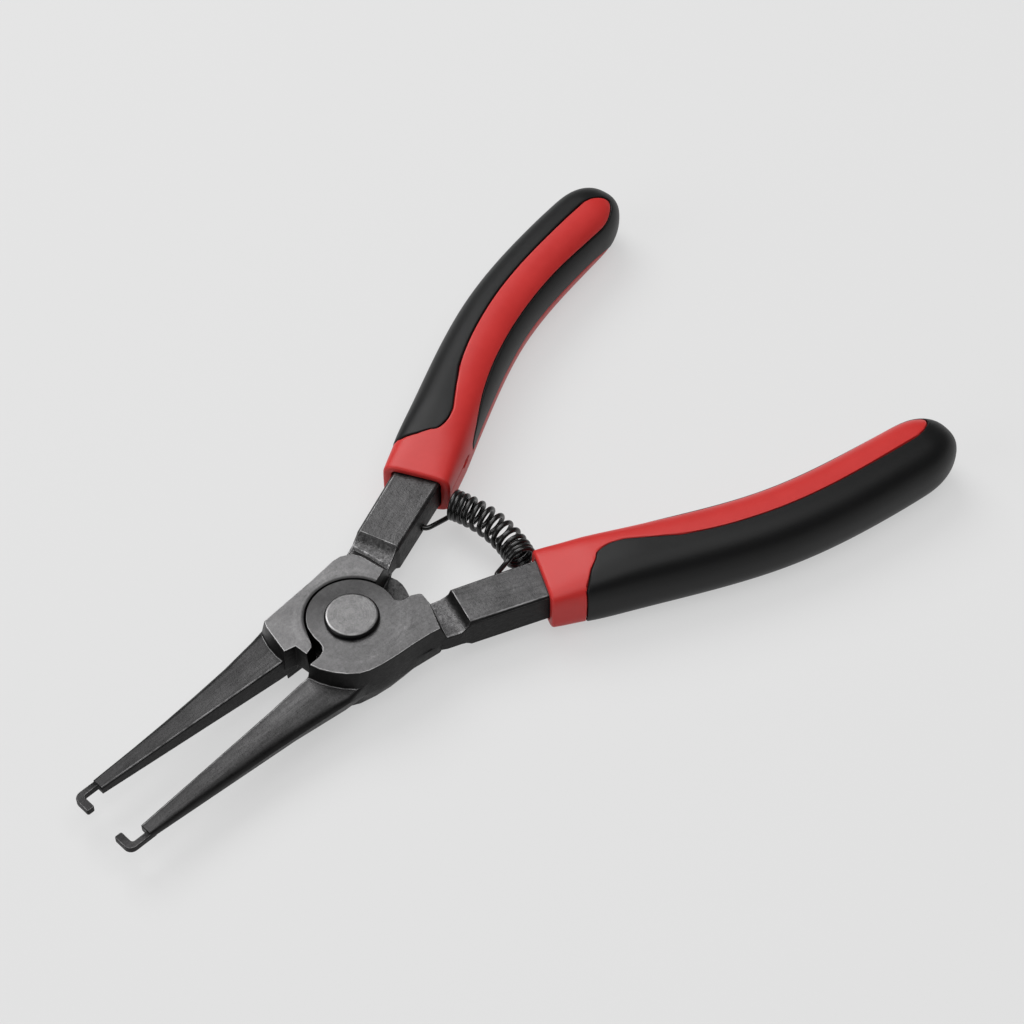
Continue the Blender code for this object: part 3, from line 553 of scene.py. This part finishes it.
def spring_points():
    """Coil on an arc that opens towards the pivot, with a leg at each end, and its frame vectors.

    The coil's point is the arc's point plus the coil radius times
    (cos turn * outward + sin turn * up). The frame's first vector is that direction.
    """
    t = np.linspace(0.0, 1.0, int(SPRING_TURNS * TURN_STEPS) + 1)
    crowd = t - SPRING_SPREAD * np.sin(2 * np.pi * t) / (2 * np.pi)
    along = np.radians(SPRING_HALF_ANGLE) * (1.0 - 2.0 * crowd)
    turn = -0.5 * np.pi + 2 * np.pi * SPRING_TURNS * t
    out = np.stack([np.cos(along), np.sin(along), 0 * t], axis=-1)
    up = np.array((0.0, 0.0, 1.0))
    radial = np.cos(turn)[:, None] * out + np.sin(turn)[:, None] * up
    coil = np.array((SPRING_MID_X - SPRING_ARC_R, 0.0, SPRING_Z)) + SPRING_ARC_R * out + SPRING_COIL_R * radial
    low, high = -SPRING_HOLE_Z, SPRING_HOLE_Z + 2 * SPRING_Z
    near = leg_points(np.concatenate([leg_knots(NEAR_LEG, 1.0, low), [coil[0] + NEAR_LAST], coil[:2]]))
    far = leg_points(np.concatenate([leg_knots(FAR_LEG, -1.0, high), coil[:-3:-1]]))[::-1]
    first = np.repeat([(0.0, 0.0, -1.0)], len(near), axis=0)
    return np.concatenate([near, coil, far]), np.concatenate([first, radial, -first[:len(far)]])


def tube_points(path, first, radius, count):
    """Round profile carried along a path. The frame is made square to the path at every point."""
    ahead = np.gradient(path, axis=0)
    ahead /= np.linalg.norm(ahead, axis=1, keepdims=True)
    a = first - ahead * np.sum(first * ahead, axis=1, keepdims=True)
    a /= np.linalg.norm(a, axis=1, keepdims=True)
    b = np.cross(ahead, a)
    turn = 2 * np.pi * np.arange(count) / count
    ring = (a[:, None, :] * np.cos(turn)[None, :, None] + b[:, None, :] * np.sin(turn)[None, :, None])
    reach = np.concatenate([[1e-3, 0.75, 1.0], np.ones(len(path) - 6), [1.0, 0.75, 1e-3]]) * radius
    return path[:, None, :] + ring * reach[:, None, None]


# Rivet

SHANK_R, JOINT_HALF, SEAT_GAP, HEAD_R, HEAD_HEIGHT, HEAD_ROUND = 4.0, 7.0, 0.3, 6.75, 1.2, 0.85
HEAD_SHIFT = (-0.5, -0.5, 0.0)
HEAD_FACE_R = (5.6, 5.0, 4.2, 3.0, 1.8, 0.9, 1e-3)
HEAD_FOOT = 0.12
ROUND_STEPS, RIVET_SIDES = 9, 144


def rivet_points():
    """Turned rivet: a profile of radius and height, swept round the axis.

    The upper head was set a little off the axis when it was struck.
    """
    seat = JOINT_HALF + SEAT_GAP
    top = seat + HEAD_HEIGHT
    turn = np.linspace(0.0, 0.5 * np.pi, ROUND_STEPS)
    rim_r = HEAD_R - HEAD_ROUND * (1.0 - np.cos(turn))
    rim_z = top - HEAD_ROUND * (1.0 - np.sin(turn))
    r = np.concatenate([[SHANK_R, HEAD_R - HEAD_FOOT, HEAD_R], rim_r, HEAD_FACE_R])
    z = np.concatenate([[seat, seat, seat + HEAD_FOOT], rim_z, np.full(len(HEAD_FACE_R), top)])
    r = np.concatenate([r[::-1], r])
    z = np.concatenate([-z[::-1], z])
    angle = 2 * np.pi * np.arange(RIVET_SIDES) / RIVET_SIDES
    points = np.stack([r[:, None] * np.cos(angle), r[:, None] * np.sin(angle), z[:, None] + 0 * angle], axis=-1)
    return points + np.where(points[:, :, 2:] > seat - 0.01, 1.0, 0.0) * HEAD_SHIFT


# Levers

EDGE_ROUND = 0.00022
EDGE_ANGLE, FLAT_ANGLE = 33.0, 0.6
FORGING_MERGE = 1e-5
HOOK_ROOT_X = (-0.1092, -0.1068)


def lever_piece(name, node, material):
    """Lever with rounded edges: the solid's surface merged, its flats joined, its edges rounded.

    Edges at the root of the hook stay sharp, because rounding them moved points up to
    0.7 mm off the solid.
    The attribute "edge" is 1 on the rounded strips, for wear and a painted highlight.
    """
    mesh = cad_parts[node].data.copy()
    work = bmesh.new()
    work.from_mesh(mesh)
    bmesh.ops.remove_doubles(work, verts=work.verts, dist=FORGING_MERGE)
    bmesh.ops.dissolve_degenerate(work, edges=work.edges, dist=FORGING_MERGE)
    bmesh.ops.dissolve_limit(work, angle_limit=math.radians(FLAT_ANGLE), verts=work.verts, edges=work.edges)
    weight = work.edges.layers.float.new("bevel_weight_edge")
    for edge in work.edges:
        at_root = all(HOOK_ROOT_X[0] < vert.co.x < HOOK_ROOT_X[1] for vert in edge.verts)
        edge[weight] = float(edge.calc_face_angle(0.0) > math.radians(EDGE_ANGLE) and not at_root)
    work.to_mesh(mesh)
    work.free()
    source = linked(name + "_source", mesh)
    mesh.materials.clear()
    mesh.materials.append(material)
    mesh.materials.append(material)
    rounding = source.modifiers.new("edges", "BEVEL")
    rounding.width = EDGE_ROUND
    rounding.segments = 2
    rounding.limit_method = "WEIGHT"
    rounding.use_clamp_overlap = False
    rounding.material = 1
    shade = source.modifiers.new("shading", "WEIGHTED_NORMAL")
    shade.mode = "FACE_AREA"
    shade.weight = 100
    shade.keep_sharp = True
    mesh.polygons.foreach_set("use_smooth", np.ones(len(mesh.polygons), bool))
    bpy.context.view_layer.update()
    graph = bpy.context.evaluated_depsgraph_get()
    result = bpy.data.meshes.new_from_object(source.evaluated_get(graph))
    bpy.data.objects.remove(source)
    index = np.zeros(len(result.polygons), np.int32)
    result.polygons.foreach_get("material_index", index)
    result.attributes.new("edge", "FLOAT", "FACE").data.foreach_set("value", index.astype(np.float32))
    result.polygons.foreach_set("material_index", 0 * index)
    result.materials.clear()
    result.materials.append(material)
    result.name = name
    return linked(name, result)


# Finishes

def steel_finish(name, tang_turn, ring):
    """Blackened forging. Flats are lighter from grinding, most of all on the joint; walls stay black. This split
    by facing is partly painted light and shade.

    tang_turn is the direction of the tang, for its grinding marks. ring is 1 on the lever
    with the recess, which gets painted shade in the gap round the disc, and 0 on the other.
    """
    f = Finish(name)
    x, y, z = f.from_pivot()
    radius = (x * x + y * y) ** 0.5
    level = abs(z)
    up = abs(f.axis(f.normal, 2))
    side = f.axis(f.normal, 0)

    # Regions
    plate = level.step(0.0064, 0.0069)
    behind = x.step(0.012, 0.018)
    tang = level.step(0.0040, 0.0044) * (1 - plate)
    neck = behind * (1 - level.step(0.0036, 0.0042))
    jaw = (1 - behind) * (1 - plate)
    # flat picks the faces that take the flats' lighter tone, partly painted light; on the recessed lever's neck
    # the ramp counts as flat, so it is painted lighter
    leaning = ring * behind * (1 - plate)
    flat = up.step(0.78, 0.99) * (1 - leaning) + up.step(0.38, 0.62) * leaning

    # Patterns of the metal
    blotch = f.noise(f.place, 330.0, 4.0, 0.6)
    cloud = f.noise(f.place, 95.0, 2.0, 0.5)
    speck = f.noise(f.place, 1150.0, 4.0, 0.65)
    grain = f.noise(f.place, 3600.0, 2.0, 0.6)
    along_jaw = f.noise(f.mapped(f.place, scale=(150.0, 1900.0, 1900.0)), 1.0, 3.0, 0.55)
    tang_place = f.mapped(f.mapped(f.place, turn=-tang_turn), scale=(170.0, 1900.0, 1900.0))
    along_tang = f.noise(tang_place, 1.0, 3.0, 0.55)
    streak = along_jaw * (1 - behind) + along_tang * behind
    rings = f.rings(radius, 2300.0, (0.5, 0.5))
    turned = radius.step(0.0112, 0.0120) * (1 - radius.step(0.0140, 0.0150)) * plate
    turned = turned * f.noise(f.place, 150.0, 1.0)
    # Painted shade: a dark band round the edge of the recess, in the gap by the disc
    painted_gap_shade = ring * radius.step(0.0113, 0.0116) * (1 - radius.step(0.0119, 0.0126)) * plate
    # Painted shade: the disc lever's plate darker towards its +Y side
    plate_painted_shade = (1 - ring) * plate * (y + 0.4 * x).step(-0.004, 0.009)
    scuff = f.noise(f.place, 620.0, 5.0, 0.7).step(0.56, 0.72)

    # Ground flats
    shade = 0.048 + (0.016 - 0.008 * ring) * tang + (0.038 + 0.013 * ring) * plate + 0.012 * neck
    shade = shade * (1 - 0.5 * plate_painted_shade) * (1 + 1.1 * (blotch - 0.5) + 0.8 * (cloud - 0.5) + 0.3 * scuff)
    shade = shade * (1 + 1.3 * (speck - 0.5) + (1 - 0.6 * plate) * (streak - 0.5) + 0.5 * (grain - 0.5))
    shade = shade * (1 + neck * (speck - 0.5) * 1.8) * (1 + turned * (rings - 0.38) * 1.3)
    shade = shade * (1 - 0.75 * painted_gap_shade)

    # Jaws: a painted highlight along the inner side, painted shade on the outer shoulder, and darker towards the
    # hooks
    across = (abs(y) - 0.0068 + (x + 0.02) * 0.055) / 0.0028
    painted_ridge_highlight = (1 - across.step(0.0, 1.0)) * across.step(-1.2, -0.2)
    shade = shade * (1 - 0.40 * jaw + (0.50 - 0.30 * ring) * jaw * painted_ridge_highlight)
    shade = shade * (1 - 0.45 * jaw * (-x).step(0.018, 0.062))

    # Neck of the recessed lever: a painted highlight along a lip across it, painted shade between the lip and
    # the joint
    over_neck = x + 0.185 * y
    lip = ring * neck * (1 - abs(over_neck - 0.02066).step(0.0001, 0.0003)) * speck.step(0.38, 0.56)
    shade = shade * (1 - 0.35 * ring * neck * (1 - over_neck.step(0.0198, 0.0205))) + 0.10 * lip

    # Walls: painted shade in the notch between the jaws, painted light on one wall of the recessed lever that
    # faces -X
    wall = 0.021 * (0.6 + 0.8 * blotch)
    painted_notch_shade = (-x).step(0.008, 0.011) * (1 - radius.step(0.0165, 0.0185)) * (1 - abs(y).step(0.006, 0.008))
    left_wall_painted_light = ring * (-side).step(0.45, 0.8) * level.step(0.0028, 0.0034) * y.step(0.007, 0.014) * (1 - behind)
    wall = wall * (1 - 0.55 * painted_notch_shade) + 0.11 * left_wall_painted_light * (0.5 + blotch)

    # Edges: lighter where worn, partly a painted highlight
    edge = f.node("ShaderNodeAttribute", {"attribute_name": "edge"}, {}, 2)
    wear_and_highlight = edge * f.noise(f.place, 260.0, 4.0, 0.6).step(0.22, 0.62) * up.step(0.25, 0.8)
    wear_and_highlight = wear_and_highlight * (1 - painted_gap_shade) * (1 - plate_painted_shade)
    # Flats and walls by facing: partly grinding, partly painted light on the flats and painted shade on the
    # walls
    tone = wall * (1 - flat) + shade * flat + wear_and_highlight * (0.10 + 0.10 * plate)
    rough = 0.41 + 0.3 * (blotch - 0.5) + 0.25 * (speck - 0.5) + 0.1 * (1 - flat) - 0.06 * wear_and_highlight
    forged = (1 - plate) * f.noise(f.place, 900.0, 4.0, 0.65) * (1.4 + 1.6 * neck)
    height = (streak * 0.35 * (1 - 0.7 * plate) + grain * 0.35 + forged + speck * 0.5
              + turned * rings * 0.5)
    return f.finish(f.tinted(tone, (1.0, 0.985, 0.995)), rough, 0.9, f.bump(height, 0.00006, 0.8))


def rivet_finish():
    """Ground heads: lighter steel with faint turning marks, small stains, a rim lighter in patches and a painted
    highlight on one side of the rim.

    The sides and the rounding are black: partly the head's own finish, partly painted shade.
    """
    f = Finish("ground_rivet")
    x, y, z = f.from_pivot()
    upper = z.step(-0.001, 0.001)
    x, y = x - HEAD_SHIFT[0] * MM * upper, y - HEAD_SHIFT[1] * MM * upper
    radius = (x * x + y * y) ** 0.5
    face = abs(f.axis(f.normal, 2)).step(0.78, 0.95)
    blotch = f.noise(f.place, 480.0, 4.0, 0.6)
    speck = f.noise(f.place, 1300.0, 4.0, 0.65)
    grain = f.noise(f.place, 4200.0, 2.0, 0.6)
    rings = f.rings(radius, 2600.0, (0.2, 0.7))
    tone = 0.116 * (1 + 1.3 * (blotch - 0.5) + 1.1 * (speck - 0.5) + 0.5 * (grain - 0.5) + 0.25 * (rings - 0.5))
    rim = radius.step(0.0057, 0.0062)
    # Painted highlight on one side of the rim
    painted_rim_highlight = (0.34 * y - 0.94 * x).step(0.0044, 0.0063)
    tone = tone + rim * (0.06 * f.noise(f.place, 300.0, 3.0, 0.6).step(0.42, 0.62) + 0.16 * painted_rim_highlight)
    # Painted shade: the sides and the rounding take the dark tone
    painted_side_shade = 0.022
    tone = painted_side_shade + (tone - painted_side_shade) * face
    rough = 0.38 + 0.2 * (blotch - 0.5) + 0.16 * (speck - 0.5)
    return f.finish(f.tinted(tone, (1.0, 0.985, 0.99)), rough, 0.92,
                    f.bump(rings * 0.6 + grain * 0.5 + speck * 0.8, 0.00005, 0.7))


def wire_finish():
    """Black wire under a film of oil, bright in its highlights."""
    f = Finish("oiled_wire")
    drawn = f.noise(f.place, 900.0, 3.0, 0.6)
    tone = 0.007 * (0.7 + 0.7 * drawn)
    return f.finish(f.tinted(tone, (1.0, 0.99, 0.98)), 0.17 + 0.16 * drawn, 0.04,
                    f.bump(f.noise(f.place, 2400.0), 0.00003, 0.5), Specular_IOR_Level=0.5)


def red_finish():
    """Satin moulded plastic with a fine grain, faint clouding and rubbed spots."""
    f = Finish("red_plastic_grip")
    cloud = f.noise(f.place, 70.0, 3.0, 0.55)
    spots = f.noise(f.place, 520.0, 4.0, 0.6)
    grain = f.noise(f.place, 5200.0, 2.0, 0.6)
    factor = (cloud - 0.5) * 0.9 + (spots - 0.5) * 0.5 + 0.5
    colour = f.mix(factor, (0.460, 0.022, 0.020, 1.0), (0.550, 0.032, 0.029, 1.0))
    rough = 0.4 + 0.1 * (spots - 0.5) + 0.06 * (grain - 0.5)
    return f.finish(colour, rough, 0.0, f.bump(grain * 0.7 + spots * 0.5, 0.00004, 0.45), Specular_IOR_Level=0.3)


def black_finish():
    """Fine matt soft rubber: dark body, faint clouding and a dense grain."""
    f = Finish("black_rubber_grip")
    cloud = f.noise(f.place, 60.0, 3.0, 0.6)
    spots = f.noise(f.place, 800.0, 3.0, 0.6)
    grain = f.noise(f.place, 4300.0, 2.0, 0.7)
    tone = 0.0065 * (0.7 + 0.35 * cloud + 0.25 * spots)
    rough = 0.42 + 0.1 * (cloud - 0.5) + 0.08 * (grain - 0.5)
    normal = f.bump(grain * 0.9 + spots * 0.3, 0.00005, 0.5)
    return f.finish(f.tinted(tone, (0.98, 1.0, 1.02)), rough, 0.0, normal, Specular_IOR_Level=0.2)


FLOOR_TONE, FLOOR_SEEN, FLOOR_GLOW = 0.78, 0.228, 0.51


def floor_finish():
    """Pale floor. To the camera and in reflections part of it glows evenly, so shadows stay faint."""
    f = Finish("pale_floor")
    path = f.nodes.new("ShaderNodeLightPath")
    seen = Socket(f, path.outputs["Is Camera Ray"]) + Socket(f, path.outputs["Is Glossy Ray"])
    seen = (seen + Socket(f, path.outputs["Is Transmission Ray"])).step(0.0, 1.0)
    neutral = (1.0, 1.0, 1.0)
    f.put(f.shader.inputs["Emission Color"], f.tinted(seen * FLOOR_GLOW, neutral))
    return f.finish(f.tinted(FLOOR_TONE - seen * (FLOOR_TONE - FLOOR_SEEN), neutral), 1.0, 0.0,
                    Emission_Strength=1.0, Specular_IOR_Level=0.0)


# Pieces on their bodies

TANG_TURN = 24.0
SKIN_SHARP, RIVET_SHARP, WIRE_SHARP = 48, 40, 60
HALVES = (("recessed", 1.0, "recessed_half", 0.0), ("disc", -1.0, "disc_half", 4.0))

red = red_finish()
black = black_finish()

for word, side, body, shift in HALVES:
    core = core_points(shift)
    cover, cover_quads = loose_removed(*cover_parts(shift))
    piece = mesh_piece(word + "_core_skin", one_side(core, side), ring_quads(*core.shape[:2]), red, SKIN_SHARP)
    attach(piece, body)
    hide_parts(word + "_grip_core")
    piece = mesh_piece(word + "_cover_skin", one_side(cover, side), cover_quads, black, SKIN_SHARP)
    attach(piece, body)
    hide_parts(word + "_grip_cover")
    steel = steel_finish(word + "_steel", math.radians(TANG_TURN) * side, max(side, 0.0))
    piece = lever_piece(word + "_forging", word + "_lever", steel)
    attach(piece, body)
    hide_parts(word + "_lever")

rivet = rivet_points()
piece = mesh_piece("rivet_turned", rivet, ring_quads(*rivet.shape[:2]), rivet_finish(), RIVET_SHARP)
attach(piece, "recessed_half")
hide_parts("pivot_rivet")

wire_path, wire_frame = spring_points()
wire = tube_points(wire_path, wire_frame, WIRE_R, WIRE_SIDES)
piece = mesh_piece("spring_wire_coil", wire, ring_quads(*wire.shape[:2]), wire_finish(), WIRE_SHARP)
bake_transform(piece)
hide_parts("return_spring")


# Stage, light and camera

FLOOR_RADII, FLOOR_SIDES = (1e-5, 0.5, 1.5, 4.0), 96
LAMPS = (("back_softbox", (0.22, 1.22, 1.50), 26.0, 1.45),
         ("top_softbox", (0.06, -0.30, 1.86), 20.5, 1.9),
         ("side_softbox", (-1.77, 0.55, 0.72), 11.0, 1.6))
WORLD_STRENGTH = 0.1
CAMERA_ELEVATION, CAMERA_AZIMUTH = 50.431, -44.565
CAMERA_TARGET = (59.619 + PIVOT_X, 5.698, MID_Z - 9.39)
CAMERA_DISTANCE, CAMERA_LENS, CAMERA_SENSOR = 691.564, 94.92, 36.0


def stage_floor():
    """Round flat floor under the tool: rings of points at each radius, all at height 0."""
    angle = 2 * np.pi * np.arange(FLOOR_SIDES) / FLOOR_SIDES
    r = np.array(FLOOR_RADII)[:, None]
    points = np.stack([r * np.cos(angle), r * np.sin(angle), 0 * r * angle], axis=-1)
    mesh = bpy.data.meshes.new("floor")
    quads = ring_quads(len(FLOOR_RADII), FLOOR_SIDES)
    mesh.from_pydata(points.reshape(-1, 3).tolist(), [], quads.reshape(-1, 4).tolist())
    mesh.materials.append(floor_finish())
    floor = linked("floor", mesh)


def area_lamp(name, place, energy, size):
    """Round softbox at a place in metres, turned to the tool."""
    lamp = bpy.data.lights.new(name, "AREA")
    lamp.shape = "DISK"
    lamp.size = size
    lamp.energy = energy
    obj = linked(name, lamp)
    obj.location = place
    obj.rotation_euler = (-Vector(place)).to_track_quat("-Z", "Y").to_euler()


def place_camera():
    """Camera of the photo: long lens, 50.4 degrees above the floor, from the -X -Y side."""
    elevation, azimuth = math.radians(CAMERA_ELEVATION), math.radians(CAMERA_AZIMUTH)
    back = Vector((math.sin(azimuth) * math.cos(elevation), -math.cos(azimuth) * math.cos(elevation),
                   math.sin(elevation)))
    right = Vector((0.0, 0.0, 1.0)).cross(back).normalized()
    up = back.cross(right)
    place = (Vector(CAMERA_TARGET) + CAMERA_DISTANCE * back) * MM
    data = bpy.data.cameras.new("camera")
    data.lens = CAMERA_LENS
    data.sensor_width = CAMERA_SENSOR
    data.clip_start = 0.01
    obj = linked("camera", data)
    obj.matrix_world = Matrix(((right.x, up.x, back.x, place.x), (right.y, up.y, back.y, place.y),
                               (right.z, up.z, back.z, place.z), (0.0, 0.0, 0.0, 1.0)))
    bpy.context.scene.camera = obj


stage_floor()
for lamp in LAMPS:
    area_lamp(*lamp)
world = bpy.data.worlds.new("studio")
world.use_nodes = True
world.node_tree.nodes["Background"].inputs["Color"].default_value = (1.0, 1.0, 1.0, 1.0)
world.node_tree.nodes["Background"].inputs["Strength"].default_value = WORLD_STRENGTH
bpy.context.scene.world = world
bpy.context.scene.view_settings.view_transform = "Standard"
place_camera()
